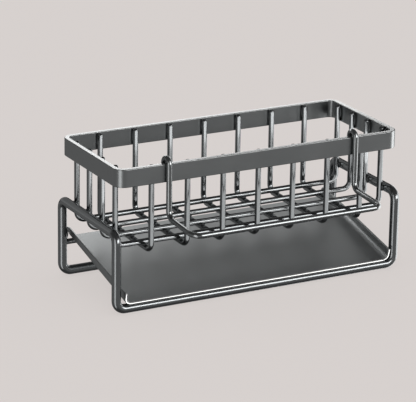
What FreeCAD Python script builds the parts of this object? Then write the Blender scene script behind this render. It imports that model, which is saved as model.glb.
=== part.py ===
"""Sponge holder: a wire basket with a flat rim, welded between the shoulders of a bent-wire stand.

A sheet drip tray lies sloping under the basket and hooks behind a bar at the back of the stand.
A cloth bar hangs on the front of the rim by two hooks.

Frame: millimetres, X to the right, Y to the back, Z up, origin on the table under the middle of the stand.
"""
import FreeCAD
import Part

import math
import os

from FreeCAD import Vector

# Stand: one round wire bent into a closed loop
STAND_LENGTH = 230.0
STAND_DEPTH = 94.0
STAND_WIRE = 6.6
STAND_BEND = 6.5
SHOULDER_HEIGHT = 60.5

# Rim: a flat strip on edge, bent into a ring
RIM_TOP = 104.0
RIM_HEIGHT = 13.0
RIM_THICKNESS = 3.5
RIM_CORNER = 8.0
RIM_EDGE_ROUND = 0.5
RIM_SETBACK = 1.25

# Basket wires: U shapes, the cross wires lie under the long ones
BASKET_WIRE = 4.0
BASKET_BEND = 6.0
BASKET_DROP = 21.5
CROSS_COUNT = 7
CROSS_END_SPACE = 28.3
LONG_COUNT = 4
LONG_END_SPACE = 15.2
WIRE_END_BELOW_RIM = 0.8
WIRE_END_ROUND = 1.2
WELD_GAP = 0.02

# Rest bar of the tray, straight between the rear posts
REST_WIRE = 4.0
REST_BELOW_BASKET = 14.0

# Drip tray: a sheet channel, open at the front, with walls that get lower to a hook at the back
TRAY_SHEET = 1.5
TRAY_WALL = 9.5
TRAY_WALL_TAPER = 1.8
TRAY_BEND = 5.0
TRAY_EDGE_ROUND = 0.6
TRAY_SIDE_GAP = 1.7
TRAY_FRONT_OVERHANG = 1.7
TRAY_REAR_OVERHANG = 1.6
TRAY_SEAT_GAP = 0.3
HOOK_SLOT = 2.8
HOOK_SLOT_RISE = 4.6
HOOK_LEG = 3.0
HOOK_LEG_DROP = 1.0
HOOK_SHOULDER = 5.0

# Cloth bar: one wire with two hooks over the front of the rim
CLOTH_WIRE = 4.0
CLOTH_HOOK_GAP = 0.3
CLOTH_HOOK_TAIL = 7.0
CLOTH_HOOK_FROM_WIRE = 9.6
CLOTH_DROP = 38.0
CLOTH_REACH = 38.0
CLOTH_DIP = 2.0
CLOTH_ELBOW = 6.0
CLOTH_CORNER = 7.0

# Places worked out from the sizes above
POST_X = (STAND_LENGTH - STAND_WIRE) / 2
POST_Y = (STAND_DEPTH - STAND_WIRE) / 2
FLOOR_BAR_Z = STAND_WIRE / 2
SHOULDER_Z = SHOULDER_HEIGHT - STAND_WIRE / 2
RIM_INNER_X = POST_X - STAND_WIRE / 2
RIM_OUTER_X = RIM_INNER_X + RIM_THICKNESS
RIM_OUTER_Y = STAND_DEPTH / 2 - RIM_SETBACK
RIM_INNER_Y = RIM_OUTER_Y - RIM_THICKNESS
WIRE_TOP = RIM_TOP - WIRE_END_BELOW_RIM
BASKET_UNDERSIDE = SHOULDER_HEIGHT - BASKET_DROP
CROSS_Z = BASKET_UNDERSIDE + BASKET_WIRE / 2
LONG_Z = CROSS_Z + BASKET_WIRE + WELD_GAP
CROSS_END_Y = RIM_INNER_Y - BASKET_WIRE / 2 - WELD_GAP
LONG_END_X = RIM_INNER_X - BASKET_WIRE / 2 - WELD_GAP
REST_Z = BASKET_UNDERSIDE - REST_BELOW_BASKET


def spread(half_length, count):
    """Evenly spaced places from -half_length to +half_length."""
    step = 2 * half_length / (count - 1)
    return [-half_length + step * index for index in range(count)]


CROSS_PLACES = spread(RIM_OUTER_X - CROSS_END_SPACE, CROSS_COUNT)
LONG_PLACES = spread(RIM_OUTER_Y - LONG_END_SPACE, LONG_COUNT)


def direction(start, end):
    """Unit vector from start to end."""
    step = end - start
    return step / step.Length


def bent_wire(points, bends, diameter):
    """Round wire through the points: a circle drawn along the runs and swung round each bend."""
    pieces = []
    heading = direction(points[0], points[1])
    place = points[0]
    for corner, after, radius in zip(points[1:-1], points[2:], bends):
        turned = direction(corner, after)
        turn = heading.getAngle(turned)
        setback = radius * math.tan(turn / 2)
        bend_start = corner - heading * setback
        pieces += straight_run(place, bend_start, diameter)
        axis = heading.cross(turned)
        inward = axis.cross(heading)
        centre = bend_start + inward * (radius / inward.Length)
        section = circle_face(bend_start, heading, diameter)
        pieces.append(section.revolve(centre, axis, math.degrees(turn)))
        place = corner + turned * setback
        heading = turned
    pieces += straight_run(place, points[-1], diameter)
    return joined(pieces)


def circle_face(centre, normal, diameter):
    """Round section of a wire."""
    return Part.Face(Part.Wire(Part.makeCircle(diameter / 2, centre, normal)))


def straight_run(start, end, diameter):
    """Straight stretch of wire, or nothing where two bends meet."""
    run = end - start
    if run.Length < 0.001:
        return []
    return [Part.makeCylinder(diameter / 2, run.Length, start, run)]


def joined(pieces):
    """One clean solid from pieces that share their faces."""
    return pieces[0].multiFuse(pieces[1:]).removeSplitter().Solids[0]


def round_ends(wire, ends, radius):
    """Round the cut ends of a wire."""
    rims = []
    for edge in wire.Edges:
        if any(edge.CenterOfMass.distanceToPoint(end) < 0.01 for end in ends):
            rims.append(edge)
    return wire.makeFillet(radius, rims)


def stand_frame():
    """Front and rear floor bars, four posts and two shoulders, as two bent halves butted together."""
    halves = []
    for side in (-1, 1):
        x = side * POST_X
        points = [
            Vector(0, POST_Y, FLOOR_BAR_Z),
            Vector(x, POST_Y, FLOOR_BAR_Z),
            Vector(x, POST_Y, SHOULDER_Z),
            Vector(x, -POST_Y, SHOULDER_Z),
            Vector(x, -POST_Y, FLOOR_BAR_Z),
            Vector(0, -POST_Y, FLOOR_BAR_Z),
        ]
        halves.append(bent_wire(points, [STAND_BEND] * 4, STAND_WIRE))
    return joined(halves)


def tray_rest_bar():
    """Straight bar between the rear posts, its ends coped to the posts."""
    bar = Part.makeCylinder(REST_WIRE / 2, 2 * POST_X, Vector(-POST_X, POST_Y, REST_Z), Vector(1, 0, 0))
    for side in (-1, 1):
        foot = Vector(side * POST_X, POST_Y, 0)
        post = Part.makeCylinder(STAND_WIRE / 2 + WELD_GAP, SHOULDER_HEIGHT, foot)
        bar = bar.cut(post)
    return bar.Solids[0]


def rounded_block(half_x, half_y, low, height, corner):
    """Upright block with rounded corners, centred on the Z axis."""
    block = Part.makeBox(2 * half_x, 2 * half_y, height, Vector(-half_x, -half_y, low))
    uprights = [edge for edge in block.Edges if abs(edge.tangentAt(edge.FirstParameter).z) > 0.99]
    return block.makeFillet(corner, uprights)


def rim_band():
    """Flat strip on edge bent into a ring, with its long edges rounded."""
    low = RIM_TOP - RIM_HEIGHT
    outside = rounded_block(RIM_OUTER_X, RIM_OUTER_Y, low, RIM_HEIGHT, RIM_CORNER)
    inside = rounded_block(RIM_INNER_X, RIM_INNER_Y, low, RIM_HEIGHT, RIM_CORNER - RIM_THICKNESS)
    band = outside.cut(inside)
    level = [edge for edge in band.Edges if edge.BoundBox.ZLength < 0.001]
    return band.makeFillet(RIM_EDGE_ROUND, level).Solids[0]


def cross_wire(x):
    """Basket wire from front to back, under the long wires."""
    ends = [Vector(x, -CROSS_END_Y, WIRE_TOP), Vector(x, CROSS_END_Y, WIRE_TOP)]
    points = [ends[0], Vector(x, -CROSS_END_Y, CROSS_Z), Vector(x, CROSS_END_Y, CROSS_Z), ends[1]]
    return round_ends(bent_wire(points, [BASKET_BEND] * 2, BASKET_WIRE), ends, WIRE_END_ROUND)


def long_wire(y):
    """Basket wire from left to right, on the cross wires and against the shoulders of the stand."""
    ends = [Vector(-LONG_END_X, y, WIRE_TOP), Vector(LONG_END_X, y, WIRE_TOP)]
    points = [ends[0], Vector(-LONG_END_X, y, LONG_Z), Vector(LONG_END_X, y, LONG_Z), ends[1]]
    return round_ends(bent_wire(points, [BASKET_BEND] * 2, BASKET_WIRE), ends, WIRE_END_ROUND)


def channel_outline(half_width, height, sheet, bend):
    """Closed front outline of a sheet channel: flat floor, rounded bends, upright walls."""
    diagonal = math.sqrt(0.5)
    inner = bend - sheet
    outer_x = half_width - bend
    edges = []
    for side in (1, -1):
        foot_out = Vector(side * outer_x, 0, 0)
        bend_out = Vector(side * (outer_x + bend * diagonal), 0, bend - bend * diagonal)
        wall_out = Vector(side * half_width, 0, bend)
        top_out = Vector(side * half_width, 0, height)
        top_in = Vector(side * (half_width - sheet), 0, height)
        wall_in = Vector(side * (half_width - sheet), 0, bend)
        bend_in = Vector(side * (outer_x + inner * diagonal), 0, bend - inner * diagonal)
        foot_in = Vector(side * outer_x, 0, sheet)
        edges += [
            Part.Arc(foot_out, bend_out, wall_out).toShape(),
            Part.makeLine(wall_out, top_out),
            Part.makeLine(top_out, top_in),
            Part.makeLine(top_in, wall_in),
            Part.Arc(wall_in, bend_in, foot_in).toShape(),
        ]
    edges.append(Part.makeLine(Vector(-outer_x, 0, 0), Vector(outer_x, 0, 0)))
    edges.append(Part.makeLine(Vector(-outer_x, 0, sheet), Vector(outer_x, 0, sheet)))
    return Part.Face(Part.Wire(Part.__sortEdges__(edges)))


def hook_outline(x, floor_end, bar_level):
    """Side outline of the hook that carries a tray wall over and down behind the rest bar."""
    hook_top = TRAY_WALL - TRAY_WALL_TAPER
    slot_round = HOOK_SLOT / 2
    leg_round = HOOK_LEG / 2
    diagonal = math.sqrt(0.5)
    leg_in = floor_end + HOOK_SLOT
    leg_out = leg_in + HOOK_LEG
    leg_low = bar_level - HOOK_LEG_DROP + leg_round
    root = floor_end - HOOK_SLOT
    shoulder_y = leg_out - HOOK_SHOULDER
    shoulder_z = hook_top - HOOK_SHOULDER

    def at(y, z):
        return Vector(x, y, z)

    edges = [
        Part.makeLine(at(root, hook_top), at(shoulder_y, hook_top)),
        Part.Arc(
            at(shoulder_y, hook_top),
            at(shoulder_y + HOOK_SHOULDER * diagonal, shoulder_z + HOOK_SHOULDER * diagonal),
            at(leg_out, shoulder_z),
        ).toShape(),
        Part.makeLine(at(leg_out, shoulder_z), at(leg_out, leg_low)),
        Part.Arc(
            at(leg_out, leg_low),
            at(leg_in + leg_round, leg_low - leg_round),
            at(leg_in, leg_low),
        ).toShape(),
        Part.makeLine(at(leg_in, leg_low), at(leg_in, HOOK_SLOT_RISE - slot_round)),
        Part.Arc(
            at(leg_in, HOOK_SLOT_RISE - slot_round),
            at(floor_end + slot_round, HOOK_SLOT_RISE),
            at(floor_end, HOOK_SLOT_RISE - slot_round),
        ).toShape(),
        Part.makeLine(at(floor_end, HOOK_SLOT_RISE - slot_round), at(root, HOOK_SLOT_RISE - slot_round)),
        Part.makeLine(at(root, HOOK_SLOT_RISE - slot_round), at(root, hook_top)),
    ]
    return Part.Face(Part.Wire(edges))


def taper_wedge(half_width, front, rear):
    """Wedge above the walls of the level tray, which leaves them lower at the back."""
    corners = [
        Vector(-half_width, front, TRAY_WALL),
        Vector(-half_width, rear, TRAY_WALL),
        Vector(-half_width, rear, TRAY_WALL - TRAY_WALL_TAPER),
    ]
    side = Part.Face(Part.makePolygon(corners + corners[:1]))
    return side.extrude(Vector(2 * half_width, 0, 0))


def round_channel_edges(channel, length):
    """Round the sheet's cut edges round the front and along the tops of the walls."""
    cut_edges = []
    for edge in channel.Edges:
        box = edge.BoundBox
        at_front = box.YMax < 0.001 - TRAY_FRONT_OVERHANG
        wall_top = box.ZMin > TRAY_BEND and box.YLength > length
        if at_front or wall_top:
            cut_edges.append(edge)
    return channel.makeFillet(TRAY_EDGE_ROUND, cut_edges)


def round_plate_edges(plate):
    """Round both outlines of an upright plate that faces along X."""
    outlines = [edge for edge in plate.Edges if edge.BoundBox.XLength < 0.001]
    return plate.makeFillet(TRAY_EDGE_ROUND, outlines)


def drip_tray():
    """Sheet channel with hooks, made level and then tilted onto the floor bar and the rest bar."""
    front_reach = FLOOR_BAR_Z + TRAY_SEAT_GAP
    rear_reach = REST_WIRE / 2 + TRAY_SEAT_GAP
    rise = REST_Z - FLOOR_BAR_Z
    run = 2 * POST_Y
    between = math.hypot(run, rise)
    tilt = math.atan2(rise, run) + math.asin((rear_reach - front_reach) / between)
    rest_place = math.sqrt(between ** 2 - (rear_reach - front_reach) ** 2)
    floor_end = rest_place + TRAY_REAR_OVERHANG
    half_width = POST_X - STAND_WIRE / 2 - TRAY_SIDE_GAP

    outline = channel_outline(half_width, TRAY_WALL, TRAY_SHEET, TRAY_BEND)
    channel = outline.extrude(Vector(0, floor_end + TRAY_FRONT_OVERHANG, 0))
    channel.translate(Vector(0, -TRAY_FRONT_OVERHANG, 0))
    channel = channel.cut(taper_wedge(half_width, -TRAY_FRONT_OVERHANG, floor_end))
    channel = round_channel_edges(channel, floor_end)
    hooks = []
    for wall_start in (-half_width, half_width - TRAY_SHEET):
        plate = hook_outline(wall_start, floor_end, -rear_reach)
        hooks.append(round_plate_edges(plate.extrude(Vector(TRAY_SHEET, 0, 0))))
    tray = joined([channel] + hooks)
    tray.rotate(Vector(0, 0, 0), Vector(1, 0, 0), math.degrees(tilt))
    seat = Vector(0, -math.sin(tilt), math.cos(tilt)) * front_reach
    tray.translate(Vector(0, -POST_Y, FLOOR_BAR_Z) + seat)
    return tray


def cloth_bar():
    """Hanging bar: hook, leg, forward arm, front bar, and the same back on the other side.

    The round crest of each hook rides on the two rounded edges of the rim.
    """
    hook_half = (RIM_THICKNESS + CLOTH_WIRE) / 2 + CLOTH_HOOK_GAP
    rim_middle = -RIM_OUTER_Y + RIM_THICKNESS / 2
    crest = RIM_TOP - RIM_EDGE_ROUND + hook_half
    tail_y = rim_middle + hook_half
    leg_y = rim_middle - hook_half
    bar_y = leg_y - CLOTH_REACH
    elbow_z = RIM_TOP - CLOTH_DROP
    hook_x = CROSS_PLACES[-1] - CLOTH_HOOK_FROM_WIRE

    def half(x):
        return [
            Vector(x, tail_y, RIM_TOP - CLOTH_HOOK_TAIL),
            Vector(x, tail_y, crest),
            Vector(x, leg_y, crest),
            Vector(x, leg_y, elbow_z),
            Vector(x, bar_y, elbow_z - CLOTH_DIP),
        ]

    left = half(-hook_x)
    right = half(hook_x)
    points = left + right[::-1]
    half_bends = [hook_half, hook_half, CLOTH_ELBOW, CLOTH_CORNER]
    wire = bent_wire(points, half_bends + half_bends[::-1], CLOTH_WIRE)
    return round_ends(wire, [points[0], points[-1]], WIRE_END_ROUND)


def main():
    nodes = {
        "stand_frame": stand_frame(),
        "tray_rest_bar": tray_rest_bar(),
        "rim_band": rim_band(),
        "drip_tray": drip_tray(),
        "cloth_bar": cloth_bar(),
    }
    for number, x in enumerate(CROSS_PLACES, start=1):
        nodes["cross_wire_%d" % number] = cross_wire(x)
    for number, y in enumerate(LONG_PLACES, start=1):
        nodes["long_wire_%d" % number] = long_wire(y)
    os.makedirs("parts", exist_ok=True)
    for name, shape in nodes.items():
        shape.exportStep("parts/%s.step" % name)


main()
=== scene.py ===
"""Sponge holder: gunmetal finishes, weld beads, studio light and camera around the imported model.

Everything is in metres in the model's own frame: X to the right, Y to the back, Z up from the table.
"""

import math

import bpy
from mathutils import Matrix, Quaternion, Vector


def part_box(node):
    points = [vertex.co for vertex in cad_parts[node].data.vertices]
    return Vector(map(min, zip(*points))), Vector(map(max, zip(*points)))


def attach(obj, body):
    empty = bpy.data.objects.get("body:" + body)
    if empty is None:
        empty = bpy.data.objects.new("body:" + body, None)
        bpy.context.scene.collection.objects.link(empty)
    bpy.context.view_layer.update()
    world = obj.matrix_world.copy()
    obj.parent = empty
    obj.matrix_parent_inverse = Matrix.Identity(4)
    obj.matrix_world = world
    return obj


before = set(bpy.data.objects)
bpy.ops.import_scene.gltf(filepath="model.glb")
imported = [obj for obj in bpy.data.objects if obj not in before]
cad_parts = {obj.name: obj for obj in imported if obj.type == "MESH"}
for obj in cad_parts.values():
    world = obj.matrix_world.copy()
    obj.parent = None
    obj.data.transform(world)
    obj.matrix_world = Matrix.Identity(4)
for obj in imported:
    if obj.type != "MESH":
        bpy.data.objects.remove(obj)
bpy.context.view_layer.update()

# Camera: the photograph's viewing angle, for a picture 416 pixels wide
PICTURE_WIDTH = 416
CAMERA_AZIMUTH = math.radians(28.35)
CAMERA_ELEVATION = math.radians(18.37)
CAMERA_TILT = math.radians(0.9)
CAMERA_DISTANCE = 1.790
CAMERA_AIM = Vector((-0.01783, 0.0, 0.05565))
CAMERA_REACH = 50.0
FOCAL_LENGTH_PIXELS = 2514.0
SENSOR_WIDTH = 36.0

# Nodes of the model by what they are made of
CROSS_WIRES = sorted(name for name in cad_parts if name.startswith("cross_wire"))
LONG_WIRES = sorted(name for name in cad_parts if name.startswith("long_wire"))
BASKET_WIRES = CROSS_WIRES + LONG_WIRES
STAND_WIRES = ["stand_frame", "tray_rest_bar"]
RIM_AND_CLOTH_BAR = ["rim_band", "cloth_bar"]

# Sizes of the model that the finishes and welds follow
STAND_WIRE = 0.0066
CLOTH_WIRE = 0.004
RIM_THICKNESS = 0.0035
TRAY_SHEET = 0.0015
TRAY_SLOPE = math.radians(13.117)

# Weld beads: half sizes along X, Y and Z, how finely their mesh is divided, and the lumps on them
CROSSING_BEAD = (0.0023, 0.0023, 0.0010)
SHOULDER_BEAD = (0.0010, 0.0024, 0.0026)
REST_BEAD = (0.0009, 0.0026, 0.0026)
LONG_SIDE_SEAM = (0.0018, 0.0009, 0.0052)
SHORT_SIDE_SEAM = (0.0009, 0.0018, 0.0052)
BEAD_SUBDIVISIONS = 3
LUMP_SIZE = 0.0011
LUMP_HEIGHT = 0.0003

# Wear and painted highlights: how far bare steel reaches from a border, the half sizes of rubbed
# patches, and how bare they are
LIP_WEAR_AND_HIGHLIGHT_WIDTH = 0.0009
RIM_WEAR_AND_HIGHLIGHT_WIDTH = 0.0006
# The lip is fully bare: wear, and a painted highlight along the tray's front lip.
LIP_BARENESS_AND_HIGHLIGHT = 1.0
# The rim's top is partly bare: wear, and a painted highlight along its top edge.
RIM_BARENESS_AND_HIGHLIGHT = 0.15
HOOK_RUB = (0.0030, 0.0030, 0.0018)
REST_RUB = (0.0025, 0.0030, 0.0030)
FLOOR_BAR_RUB = (0.1000, 0.0020, 0.0010)
RUB_BARENESS = 0.4

# Worn edges and painted highlights: the share of a border that is fully bare, where a patch fades, and
# how ragged it is
FULLY_BARE_SHARE = 0.5
PATCH_FADE = (0.6, 1.1)
PATCH_RAGGEDNESS = 1.2

# Noise: the middle of its range, its detail, and the shares of clouds and grain in the plating
NOISE_MIDDLE = 0.5
CLOUD_DETAIL = 3.0
GRAIN_DETAIL = 4.0
BREAK_DETAIL = 3.0
LUMP_DETAIL = 1.0
CLOUD_SHARE = 0.6
GRAIN_SHARE = 0.4

# Colours
GUNMETAL = (0.180, 0.187, 0.190, 1.0)
RIM_GUNMETAL = (0.214, 0.221, 0.222, 1.0)
TRAY_GUNMETAL = (0.245, 0.253, 0.254, 1.0)
# Bare steel: the colour of wear, and of the painted highlights on the tray's lip and the rim's top.
BARE_STEEL_AND_HIGHLIGHT = (0.62, 0.62, 0.61, 1.0)
TABLE_GREY = (0.260, 0.242, 0.236, 1.0)
TABLE_GLOW = (0.570, 0.535, 0.520, 1.0)
PALE_SURROUND = (0.686, 0.631, 0.620, 1.0)
WHITE = (1.0, 1.0, 1.0, 1.0)

# Finishes: the height of the grain, how the rim's grain is drawn out level, and values for the plating
WIRE_GRAIN_HEIGHT = 0.0000015
SHEET_GRAIN_HEIGHT = 0.000004
WELD_GRAIN_HEIGHT = 0.00001
LEVEL_BRUSHING = (0.05, 0.05, 1.0)
WIRE_PLATING = {"Roughness Change": 0.08, "Grain Size": 0.0008}
STAND_PLATING = {**WIRE_PLATING, "Tone": GUNMETAL, "Roughness": 0.22}
BASKET_PLATING = {**WIRE_PLATING, "Tone": GUNMETAL, "Roughness": 0.14}
# The cloth bar takes the rim's lighter tone, not the wires' GUNMETAL: painted light, standing in for
# more light falling on the cloth bar.
CLOTH_PLATING = {**WIRE_PLATING, "Tone": RIM_GUNMETAL, "Roughness": 0.20}
SHEET_PLATING = {"Roughness Change": 0.12, "Grain Size": 0.0004}
RIM_PLATING = {**SHEET_PLATING, "Tone": RIM_GUNMETAL, "Roughness": 0.30, "Grain Stretch": LEVEL_BRUSHING}
TRAY_PLATING = {**SHEET_PLATING, "Tone": TRAY_GUNMETAL, "Roughness": 0.42}
WELD_PLATING = {"Roughness Change": 0.2, "Grain Size": 0.0006, "Tone": GUNMETAL, "Roughness": 0.30}

# Table
TABLE_HALF_SIZE = 4.0
TABLE_ROUGHNESS = 0.9

# Surroundings: radiance in front and behind, its share above and below, and the directions between
FILL_FRONT = 0.36
FILL_BEHIND = 0.08
ABOVE_SHARE = 0.35
BELOW_SHARE = 0.35
BEHIND_TO_FRONT = (-0.97, -0.45)
LEVEL_TO_ABOVE = (0.0, 0.4)
BELOW_TO_LEVEL = (-0.85, -0.4)

# Lamps: strength and spread of the table's light, and the point that the far lamps face and how far off
TABLE_LIGHT = 0.9
TABLE_LIGHT_SPREAD = math.radians(120)
LAMP_AIM = Vector((0.0, 0.0, 0.05))
LAMP_DISTANCE = 2.0

# Far lamps: bearing, elevation, width and height in degrees seen from the object, and radiance
SOFTBOXES = {
    "left_strip": (-28, -12, 26, 80, 1.9),
    "right_high_strip": (55, 16, 50, 20, 6.5),
    "basket_panel": (32, -15, 105, 70, 1.5),
    "stand_panel": (-140, 25, 70, 50, 0.30),
    "lip_strip": (64, -41, 40, 40, 3.8),
    "cloth_bar_strip": (55, 34, 50, 22, 2.5),
    "back_strip": (152, -12, 30, 70, 1.8),
    "rim_back_panel": (152, -15, 110, 60, 0.5),
    "tray_top_panel": (180, 85, 40, 40, 0.5),
}

# Near lamps: place, direction they face, width, height, and radiance
CARDS = {
    "right_card": ((0.25, -0.075, 0.02), (-1, 0, 0), 0.11, 0.18, 3.0),
    "back_card": ((0.10, 0.20, 0.165), (0, -1, 0), 0.36, 0.056, 3.0),
    "back_left_card": ((0.0, 0.20, 0.245), (0, -1, 0), 0.14, 0.07, 3.2),
    "tray_card": ((0.10, 0.20, 0.120), (0, -1, 0), 0.50, 0.12, 2.4),
    "tray_left_card": ((-0.04, 0.20, 0.200), (0, -1, 0), 0.14, 0.20, 1.5),
    "basket_inner_card": ((0.02, -0.02, 0.080), (0, 1, 0), 0.26, 0.024, 2.0),
}

# Pieces that a lamp lights, where it doesn't light them all
LIT_PIECES = {
    "left_strip": STAND_WIRES + RIM_AND_CLOTH_BAR,
    "right_high_strip": STAND_WIRES + BASKET_WIRES + RIM_AND_CLOTH_BAR,
    "basket_panel": BASKET_WIRES,
    "basket_inner_card": BASKET_WIRES,
    "stand_panel": ["stand_frame"],
    "lip_strip": ["drip_tray"],
    "tray_card": ["drip_tray"],
    "tray_left_card": ["drip_tray"],
    "cloth_bar_strip": ["cloth_bar"],
    "back_strip": STAND_WIRES + BASKET_WIRES + ["cloth_bar"],
    "rim_back_panel": ["rim_band"],
    "tray_top_panel": ["drip_tray"],
    "back_card": RIM_AND_CLOTH_BAR,
    "back_left_card": RIM_AND_CLOTH_BAR,
}

# Lamps whose light isn't blocked by the other pieces
UNBLOCKED = ["basket_panel", "basket_inner_card", "stand_panel", "tray_card", "tray_left_card"]


# Helpers for shader and geometry trees

def feed(tree, node, feeds):
    """Feed a node's inputs with values or with outputs of other nodes."""
    for name, value in feeds.items():
        if isinstance(value, bpy.types.NodeSocket):
            tree.links.new(value, node.inputs[name])
        else:
            node.inputs[name].default_value = value


def add_node(tree, kind, feeds=None, **settings):
    """Add a node, set its properties, and feed its inputs."""
    made = tree.nodes.new(kind)
    for name, value in settings.items():
        setattr(made, name, value)
    feed(tree, made, feeds or {})
    return made


def calculate(tree, operation, *values):
    """Output of a Math node on two or three values."""
    return add_node(tree, "ShaderNodeMath", dict(enumerate(values)), operation=operation).outputs[0]


def calculate_vector(tree, operation, feeds, output="Vector"):
    """Output of a Vector Math node."""
    return add_node(tree, "ShaderNodeVectorMath", feeds, operation=operation).outputs[output]


def change(tree, value, between, start, end, kind="LINEAR"):
    """Output that goes from a start to an end as a value passes between two limits."""
    limits = {"From Min": between[0], "From Max": between[1], "To Min": start, "To Max": end}
    feeds = {"Value": value, **limits}
    return add_node(tree, "ShaderNodeMapRange", feeds, interpolation_type=kind).outputs["Result"]


def noise(tree, place, size, detail, dimensions="3D"):
    """Output of a noise texture with spots of a size. Its place is a Vector, and a W as well in 4D."""
    feeds = {**place, "Scale": calculate(tree, "DIVIDE", 1.0, size), "Detail": detail}
    return add_node(tree, "ShaderNodeTexNoise", feeds, noise_dimensions=dimensions).outputs["Fac"]


def new_group(kind, name, inputs, outputs):
    """Empty node group with named sockets, the outputs of its input node, and its output node."""
    tree = bpy.data.node_groups.new(name, kind)
    for socket_name, (socket_type, value) in inputs.items():
        socket = tree.interface.new_socket(socket_name, in_out="INPUT", socket_type=socket_type)
        if value is not None:
            socket.default_value = value
    for socket_name, socket_type in outputs.items():
        tree.interface.new_socket(socket_name, in_out="OUTPUT", socket_type=socket_type)
    return tree, tree.nodes.new("NodeGroupInput").outputs, tree.nodes.new("NodeGroupOutput")


# Helpers for objects and places

def add_object(name, data):
    """Put a new object with the data into the scene."""
    made = bpy.data.objects.new(name, data)
    bpy.context.scene.collection.objects.link(made)
    return made


def middle(name):
    """Middle of a CAD node's box."""
    low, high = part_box(name)
    return (low + high) / 2


def side_middles(box, thickness):
    """X of the middles of a piece's left and right sides, which are as thick as given."""
    low, high = box
    return low.x + thickness / 2, high.x - thickness / 2


# Shared surface effects

def make_plating_group():
    """Plated metal: cloudy tone, uneven polish and a fine grain, all on Object coordinates."""
    tree, given, result = new_group(
        "ShaderNodeTree",
        "plating",
        {
            "Coordinates": ("NodeSocketVector", None),
            "Tone": ("NodeSocketColor", GUNMETAL),
            "Tone Change": ("NodeSocketFloat", 0.1),
            "Cloud Size": ("NodeSocketFloat", 0.02),
            "Grain Size": ("NodeSocketFloat", 0.0005),
            "Grain Stretch": ("NodeSocketVector", (1.0, 1.0, 1.0)),
            "Roughness": ("NodeSocketFloat", 0.2),
            "Roughness Change": ("NodeSocketFloat", 0.1),
        },
        {"Colour": "NodeSocketColor", "Roughness": "NodeSocketFloat", "Height": "NodeSocketFloat"},
    )
    clouds = noise(tree, {"Vector": given["Coordinates"]}, given["Cloud Size"], CLOUD_DETAIL)
    stretch = {0: given["Coordinates"], 1: given["Grain Stretch"]}
    stretched = calculate_vector(tree, "MULTIPLY", stretch)
    grain = noise(tree, {"Vector": stretched}, given["Grain Size"], GRAIN_DETAIL)
    grain_part = calculate(tree, "MULTIPLY", grain, GRAIN_SHARE)
    mixed = calculate(tree, "MULTIPLY_ADD", clouds, CLOUD_SHARE, grain_part)
    centred = calculate(tree, "SUBTRACT", mixed, NOISE_MIDDLE)
    shade = calculate(tree, "MULTIPLY_ADD", centred, given["Tone Change"], 1.0)
    colour = calculate_vector(tree, "SCALE", {0: given["Tone"], "Scale": shade})
    roughness = calculate(tree, "MULTIPLY_ADD", centred, given["Roughness Change"], given["Roughness"])
    feed(tree, result, {"Colour": colour, "Roughness": roughness, "Height": grain})
    return tree


def broken_distance(tree, distance, coordinates, break_size, break_depth):
    """A distance made uneven by noise, so that what it fades has a ragged border."""
    breaks = noise(tree, {"Vector": coordinates}, break_size, BREAK_DETAIL)
    centred = calculate(tree, "SUBTRACT", breaks, NOISE_MIDDLE)
    return calculate(tree, "ADD", distance, calculate(tree, "MULTIPLY", centred, break_depth))


def make_worn_and_highlight_border_group():
    """Mask of a border made bare steel, for wear and for a painted highlight: full at the border, fading
    inwards with a ragged edge.
    """
    tree, given, result = new_group(
        "ShaderNodeTree",
        "worn_and_highlight_border",
        {
            "Coordinates": ("NodeSocketVector", None),
            "Inward": ("NodeSocketVector", (0.0, 0.0, -1.0)),
            "Border": ("NodeSocketFloat", 0.0),
            "Width": ("NodeSocketFloat", 0.001),
            "Break Size": ("NodeSocketFloat", 0.003),
            "Break Depth": ("NodeSocketFloat", 0.0004),
        },
        {"Mask": "NodeSocketFloat"},
    )
    coordinates = given["Coordinates"]
    reach = calculate_vector(tree, "DOT_PRODUCT", {0: coordinates, 1: given["Inward"]}, "Value")
    depth = calculate(tree, "SUBTRACT", reach, given["Border"])
    ragged = broken_distance(tree, depth, coordinates, given["Break Size"], given["Break Depth"])
    bare_width = calculate(tree, "MULTIPLY", given["Width"], FULLY_BARE_SHARE)
    mask = change(tree, ragged, (bare_width, given["Width"]), 1.0, 0.0, "SMOOTHSTEP")
    feed(tree, result, {"Mask": mask})
    return tree


def make_rub_patch_group():
    """Mask of a patch rubbed by another piece: an egg shape with a ragged edge."""
    tree, given, result = new_group(
        "ShaderNodeTree",
        "rub_patch",
        {
            "Coordinates": ("NodeSocketVector", None),
            "Place": ("NodeSocketVector", (0.0, 0.0, 0.0)),
            "Half Size": ("NodeSocketVector", (0.001, 0.001, 0.001)),
            "Break Size": ("NodeSocketFloat", 0.001),
        },
        {"Mask": "NodeSocketFloat"},
    )
    coordinates = given["Coordinates"]
    away = calculate_vector(tree, "SUBTRACT", {0: coordinates, 1: given["Place"]})
    shares = calculate_vector(tree, "DIVIDE", {0: away, 1: given["Half Size"]})
    distance = calculate_vector(tree, "LENGTH", {0: shares}, "Value")
    ragged = broken_distance(tree, distance, coordinates, given["Break Size"], PATCH_RAGGEDNESS)
    mask = change(tree, ragged, PATCH_FADE, 1.0, 0.0, "SMOOTHSTEP")
    feed(tree, result, {"Mask": mask})
    return tree


PLATING = make_plating_group()
WORN_AND_HIGHLIGHT_BORDER = make_worn_and_highlight_border_group()
RUB_PATCH = make_rub_patch_group()


# Materials

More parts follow.
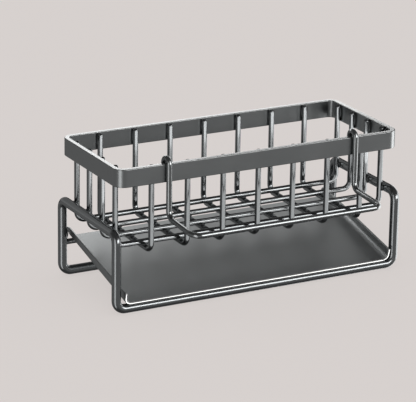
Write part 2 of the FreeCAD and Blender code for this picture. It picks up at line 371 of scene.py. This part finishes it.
def plated_material(name, plating, bump_height, wear_and_highlights=()):
    """Metal with the plating group's colour, roughness and bump, made bare steel in places: wear, and
    painted highlights on the tray's lip and the rim's top.

    Each entry is a mask group, the values of its inputs, and how bare the steel gets there.
    """
    material = bpy.data.materials.new(name)
    material.use_nodes = True
    tree = material.node_tree
    place = {"Coordinates": add_node(tree, "ShaderNodeTexCoord").outputs["Object"]}
    finish = add_node(tree, "ShaderNodeGroup", {**place, **plating}, node_tree=PLATING).outputs
    colour = finish["Colour"]
    # Each mask blends in bare steel: real wear, and painted highlights on the lip and rim top.
    for group, values, bareness in wear_and_highlights:
        bare_mask = add_node(tree, "ShaderNodeGroup", {**place, **values}, node_tree=group)
        share = calculate(tree, "MULTIPLY", bare_mask.outputs["Mask"], bareness)
        blend = {"Factor": share, "A": colour, "B": BARE_STEEL_AND_HIGHLIGHT}
        colour = add_node(tree, "ShaderNodeMix", blend, data_type="RGBA").outputs["Result"]
    bump = add_node(tree, "ShaderNodeBump", {"Height": finish["Height"], "Distance": bump_height})
    surface = {
        "Metallic": 1.0,
        "Base Color": colour,
        "Roughness": finish["Roughness"],
        "Normal": bump.outputs["Normal"],
    }
    feed(tree, tree.nodes["Principled BSDF"], surface)
    return material


def dress(material, node_names):
    """Give CAD nodes a finished material in place of their plain one."""
    for name in node_names:
        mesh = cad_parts[name].data
        mesh.materials.clear()
        mesh.materials.append(material)


# Wear, and highlights painted as bare steel

def bare_lip_and_painted_highlight():
    """Bare steel along the tray's front lip: wear where the tray is drawn in and out, and a painted
    highlight that brightens the lip's line.
    """
    up_the_slope = Vector((0, math.cos(TRAY_SLOPE), math.sin(TRAY_SLOPE)))
    front = min(vertex.co.dot(up_the_slope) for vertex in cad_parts["drip_tray"].data.vertices)
    return WORN_AND_HIGHLIGHT_BORDER, {"Inward": up_the_slope, "Border": front, "Width": LIP_WEAR_AND_HIGHLIGHT_WIDTH}, LIP_BARENESS_AND_HIGHLIGHT


def bare_rim_top_and_painted_highlight():
    """Bare steel along the top of the rim: wear, and a painted highlight on the rim's top edge."""
    down = Vector((0, 0, -1))
    border = -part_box("rim_band")[1].z
    return WORN_AND_HIGHLIGHT_BORDER, {"Inward": down, "Border": border, "Width": RIM_WEAR_AND_HIGHLIGHT_WIDTH}, RIM_BARENESS_AND_HIGHLIGHT


def rub(place, half_size):
    """Patch of metal rubbed by the piece that rests on it."""
    return RUB_PATCH, {"Place": place, "Half Size": half_size}, RUB_BARENESS


def hook_rubs():
    """Patches on the rim under the cloth bar's hooks."""
    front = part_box("rim_band")[0].y + RIM_THICKNESS / 2
    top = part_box("rim_band")[1].z
    hooks = side_middles(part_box("cloth_bar"), CLOTH_WIRE)
    return [rub((hook, front, top), HOOK_RUB) for hook in hooks]


def tray_rubs():
    """Patches on the rest bar under the tray's hooks, and on the front floor bar under its lip."""
    rest = middle("tray_rest_bar")
    rest_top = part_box("tray_rest_bar")[1].z
    hooks = side_middles(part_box("drip_tray"), TRAY_SHEET)
    floor_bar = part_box("stand_frame")[0].y + STAND_WIRE / 2
    rubs = [rub((hook, rest.y, rest_top), REST_RUB) for hook in hooks]
    return rubs + [rub((0, floor_bar, STAND_WIRE), FLOOR_BAR_RUB)]


# Weld beads

def make_bead_tree():
    """Geometry tree: one lumpy bead of weld metal on each point it is given."""
    tree, given, result = new_group(
        "GeometryNodeTree",
        "weld_beads",
        {
            "Places": ("NodeSocketGeometry", None),
            "Half Size": ("NodeSocketVector", (0.002, 0.002, 0.001)),
            "Lump Size": ("NodeSocketFloat", 0.001),
            "Lump Height": ("NodeSocketFloat", 0.0001),
            "Seed": ("NodeSocketFloat", 0.0),
            "Metal": ("NodeSocketMaterial", None),
        },
        {"Beads": "NodeSocketGeometry"},
    )
    round_ball = {"Radius": 1.0, "Subdivisions": BEAD_SUBDIVISIONS}
    ball = add_node(tree, "GeometryNodeMeshIcoSphere", round_ball).outputs["Mesh"]
    placing = {"Points": given["Places"], "Instance": ball, "Scale": given["Half Size"]}
    placed = add_node(tree, "GeometryNodeInstanceOnPoints", placing).outputs["Instances"]
    beads = add_node(tree, "GeometryNodeRealizeInstances", {"Geometry": placed}).outputs["Geometry"]
    position = add_node(tree, "GeometryNodeInputPosition").outputs["Position"]
    seeded = {"Vector": position, "W": given["Seed"]}
    lumps = noise(tree, seeded, given["Lump Size"], LUMP_DETAIL, "4D")
    centred = calculate(tree, "SUBTRACT", lumps, NOISE_MIDDLE)
    swell = calculate(tree, "MULTIPLY", centred, given["Lump Height"])
    outward = add_node(tree, "GeometryNodeInputNormal").outputs["Normal"]
    offset = calculate_vector(tree, "SCALE", {0: outward, "Scale": swell})
    raised = {"Geometry": beads, "Offset": offset}
    lumpy = add_node(tree, "GeometryNodeSetPosition", raised).outputs["Geometry"]
    smooth = add_node(tree, "GeometryNodeSetShadeSmooth", {"Geometry": lumpy}).outputs["Geometry"]
    covered = {"Geometry": smooth, "Material": given["Metal"]}
    finished = add_node(tree, "GeometryNodeSetMaterial", covered).outputs["Geometry"]
    feed(tree, result, {"Beads": finished})
    return tree


BEAD_TREE = make_bead_tree()


def weld_beads(name, places, half_size, seed, metal):
    """Beads at the places, as one plain mesh that belongs to the stand."""
    points = bpy.data.meshes.new(name + "_places")
    points.from_pydata(places, [], [])
    maker = add_object(name + "_maker", points)
    modifier = maker.modifiers.new("beads", "NODES")
    modifier.node_group = BEAD_TREE
    values = {
        "Half Size": half_size,
        "Lump Size": LUMP_SIZE,
        "Lump Height": LUMP_HEIGHT,
        "Seed": seed,
        "Metal": metal,
    }
    for socket in BEAD_TREE.interface.items_tree:
        if socket.in_out == "INPUT" and socket.name in values:
            modifier[socket.identifier] = values[socket.name]
    depsgraph = bpy.context.evaluated_depsgraph_get()
    mesh = bpy.data.meshes.new_from_object(maker.evaluated_get(depsgraph))
    mesh.name = name
    bpy.data.objects.remove(maker)
    bpy.data.meshes.remove(points)
    beads = add_object(name, mesh)
    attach(beads, "stand")


def make_welds(metal):
    """Weld metal in the crevices where the wires, the rim, the stand and the rest bar meet."""
    rim_z = middle("rim_band").z
    shoulder_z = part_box("stand_frame")[1].z - STAND_WIRE / 2
    floor_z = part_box(LONG_WIRES[0])[0].z
    crossings = []
    long_side_seams = []
    for cross in CROSS_WIRES:
        x = middle(cross).x
        for long in LONG_WIRES:
            crossings.append((x, middle(long).y, floor_z))
        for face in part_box(cross):
            long_side_seams.append((x, face.y, rim_z))
    short_side_seams = []
    shoulders = []
    for long in LONG_WIRES:
        y = middle(long).y
        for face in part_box(long):
            short_side_seams.append((face.x, y, rim_z))
            shoulders.append((face.x, y, shoulder_z))
    rest = middle("tray_rest_bar")
    ends = [(end.x, rest.y, rest.z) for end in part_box("tray_rest_bar")]
    welds = {
        "floor_welds": (crossings, CROSSING_BEAD),
        "rim_welds_long_sides": (long_side_seams, LONG_SIDE_SEAM),
        "rim_welds_short_sides": (short_side_seams, SHORT_SIDE_SEAM),
        "shoulder_welds": (shoulders, SHOULDER_BEAD),
        "rest_bar_welds": (ends, REST_BEAD),
    }
    for seed, (name, (places, half_size)) in enumerate(welds.items(), start=1):
        weld_beads(name, places, half_size, float(seed), metal)


# Room and camera

def make_floor():
    """Pale glowing table top that shows in no reflection, and isn't part of the object."""
    half = TABLE_HALF_SIZE
    corners = [(-half, -half, 0), (half, -half, 0), (half, half, 0), (-half, half, 0)]
    mesh = bpy.data.meshes.new("floor")
    mesh.from_pydata(corners, [], [(0, 1, 2, 3)])
    floor = add_object("floor", mesh)
    material = bpy.data.materials.new("floor")
    material.use_nodes = True
    tree = material.node_tree
    surface = {
        "Base Color": TABLE_GREY,
        "Emission Color": TABLE_GLOW,
        "Emission Strength": 1.0,
        "Roughness": TABLE_ROUGHNESS,
        "Specular IOR Level": 0.0,
    }
    feed(tree, tree.nodes["Principled BSDF"], surface)
    mesh.materials.append(material)
    floor.visible_glossy = False
    floor.visible_shadow = False
    return floor


def toward(bearing):
    """Level direction at a bearing from the camera's side, positive to the picture's right."""
    camera_side = Vector((-math.sin(CAMERA_AZIMUTH), -math.cos(CAMERA_AZIMUTH), 0))
    picture_right = Vector((math.cos(CAMERA_AZIMUTH), -math.sin(CAMERA_AZIMUTH), 0))
    return camera_side * math.cos(bearing) + picture_right * math.sin(bearing)


def card(name, place, facing, width, height, radiance):
    """Rectangular lamp that shows in reflections only."""
    data = bpy.data.lights.new(name, "AREA")
    data.shape = "RECTANGLE"
    data.size = width
    data.size_y = height
    data.energy = radiance * math.pi * width * height
    lamp = add_object(name, data)
    lamp.location = place
    lamp.rotation_euler = facing.to_track_quat("-Z", "Y").to_euler()
    lamp.visible_camera = False
    lamp.visible_diffuse = False


def softbox(name, bearing, elevation, across, tall, radiance):
    """Far lamp, placed and sized in degrees seen from the object."""
    rise = math.radians(elevation)
    outward = toward(math.radians(bearing)) * math.cos(rise) + Vector((0, 0, math.sin(rise)))
    width = 2 * LAMP_DISTANCE * math.tan(math.radians(across / 2))
    height = 2 * LAMP_DISTANCE * math.tan(math.radians(tall / 2))
    card(name, LAMP_AIM + outward * LAMP_DISTANCE, -outward, width, height, radiance)


def link_collection(name, pieces):
    """Collection of the pieces that a lamp lights, or that block it."""
    collection = bpy.data.collections.new(name)
    for piece in pieces:
        collection.objects.link(piece)
    return collection


def make_lights(floor):
    """Softboxes and cards round the object, and an even light on the table."""
    for name, values in SOFTBOXES.items():
        softbox(name, *values)
    for name, (place, facing, width, height, radiance) in CARDS.items():
        card(name, Vector(place), Vector(facing), width, height, radiance)
    for name, node_names in LIT_PIECES.items():
        pieces = [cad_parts[node_name] for node_name in node_names]
        receivers = link_collection(name + "_receivers", pieces)
        bpy.data.objects[name].light_linking.receiver_collection = receivers
    floor_only = link_collection("floor_only", [floor])
    for name in UNBLOCKED:
        bpy.data.objects[name].light_linking.blocker_collection = floor_only
    data = bpy.data.lights.new("table_light", "SUN")
    data.energy = TABLE_LIGHT
    data.angle = TABLE_LIGHT_SPREAD
    add_object("table_light", data).visible_glossy = False


def make_world():
    """Fill light that is dimmer behind, above and below, and a pale surrounding past the table."""
    world = bpy.data.worlds.new("studio")
    bpy.context.scene.world = world
    world.use_nodes = True
    tree = world.node_tree
    tree.nodes.clear()
    outward = add_node(tree, "ShaderNodeTexCoord").outputs["Generated"]
    frontness = calculate_vector(tree, "DOT_PRODUCT", {0: outward, 1: toward(0.0)}, "Value")
    height = add_node(tree, "ShaderNodeSeparateXYZ", {0: outward}).outputs["Z"]
    level = change(tree, frontness, BEHIND_TO_FRONT, FILL_BEHIND, FILL_FRONT, "SMOOTHSTEP")
    below = change(tree, height, BELOW_TO_LEVEL, BELOW_SHARE, 1.0)
    above = change(tree, height, LEVEL_TO_ABOVE, 1.0, ABOVE_SHARE)
    strength = calculate(tree, "MULTIPLY", level, calculate(tree, "MULTIPLY", below, above))
    camera_ray = add_node(tree, "ShaderNodeLightPath").outputs["Is Camera Ray"]
    fill = add_node(tree, "ShaderNodeBackground", {"Color": WHITE, "Strength": strength}).outputs[0]
    pale = add_node(tree, "ShaderNodeBackground", {"Color": PALE_SURROUND, "Strength": 1.0}).outputs[0]
    mix = add_node(tree, "ShaderNodeMixShader", {0: camera_ray, 1: fill, 2: pale}).outputs[0]
    add_node(tree, "ShaderNodeOutputWorld", {"Surface": mix})


def make_camera():
    """Camera at the photograph's viewing angle, tilted a little about its line of sight."""
    data = bpy.data.cameras.new("camera")
    data.sensor_fit = "HORIZONTAL"
    data.sensor_width = SENSOR_WIDTH
    data.lens = FOCAL_LENGTH_PIXELS / PICTURE_WIDTH * SENSOR_WIDTH
    data.clip_end = CAMERA_REACH
    camera = add_object("camera", data)
    heading = Vector((
        math.sin(CAMERA_AZIMUTH) * math.cos(CAMERA_ELEVATION),
        math.cos(CAMERA_AZIMUTH) * math.cos(CAMERA_ELEVATION),
        -math.sin(CAMERA_ELEVATION),
    ))
    camera.location = CAMERA_AIM - heading * CAMERA_DISTANCE
    level = heading.to_track_quat("-Z", "Y")
    tilt = Quaternion((0, 0, 1), CAMERA_TILT)
    camera.rotation_euler = (level @ tilt).to_euler()
    bpy.context.scene.camera = camera


# The dressed model
dress(plated_material("stand_wire", STAND_PLATING, WIRE_GRAIN_HEIGHT, tray_rubs()), STAND_WIRES)
dress(plated_material("basket_wire", BASKET_PLATING, WIRE_GRAIN_HEIGHT), BASKET_WIRES)
dress(plated_material("cloth_wire", CLOTH_PLATING, WIRE_GRAIN_HEIGHT), ["cloth_bar"])
# The rim's top gets bare steel as wear and as a painted highlight; the rubs under the hooks are wear.
rim_wear_and_highlight = [bare_rim_top_and_painted_highlight()] + hook_rubs()
dress(plated_material("rim_strip", RIM_PLATING, SHEET_GRAIN_HEIGHT, rim_wear_and_highlight), ["rim_band"])
# The tray's lip gets bare steel as wear and as a painted highlight.
dress(plated_material("tray_sheet", TRAY_PLATING, SHEET_GRAIN_HEIGHT, [bare_lip_and_painted_highlight()]), ["drip_tray"])
make_welds(plated_material("weld_metal", WELD_PLATING, WELD_GRAIN_HEIGHT))

# The room and the picture
make_lights(make_floor())
make_world()
make_camera()
bpy.context.scene.view_settings.view_transform = "Standard"
